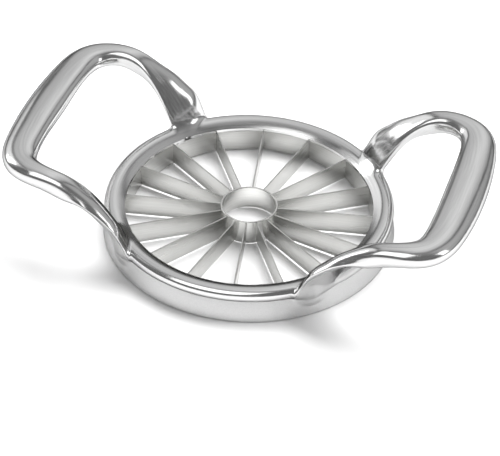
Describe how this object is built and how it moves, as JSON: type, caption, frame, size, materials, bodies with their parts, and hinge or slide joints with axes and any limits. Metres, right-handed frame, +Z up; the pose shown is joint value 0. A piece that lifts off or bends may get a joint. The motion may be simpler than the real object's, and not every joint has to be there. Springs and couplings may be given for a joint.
{
  "type": "apple slicer wedger press",
  "caption": "Two-handed press ring with raised grip loops and a star of thin radial blades round a core tube, for cutting round fruit into wedges in one push.",
  "frame": {"origin": "middle of the ring's foot, on the surface that the press stands on", "axes": "+Z up along the ring's axis, X through the middle of both grips, Y along the grips"},
  "size_m": [0.1902, 0.118, 0.0436],
  "materials": {
    "polished_aluminium": "die cast, satin outer wall, polished roll and grips",
    "brushed_stainless": "brushed along each strip"
  },
  "bodies": {
    "root": {"frame_casting": "polished_aluminium", "blade_band": "brushed_stainless", "core_ring": "brushed_stainless", "blade_01": "brushed_stainless", "blade_02": "brushed_stainless", "blade_03": "brushed_stainless", "blade_04": "brushed_stainless", "blade_05": "brushed_stainless", "blade_06": "brushed_stainless", "blade_07": "brushed_stainless", "blade_08": "brushed_stainless", "blade_09": "brushed_stainless", "blade_10": "brushed_stainless", "blade_11": "brushed_stainless", "blade_12": "brushed_stainless", "blade_13": "brushed_stainless", "blade_14": "brushed_stainless", "blade_15": "brushed_stainless", "blade_16": "brushed_stainless"}
  },
  "joints": []
}
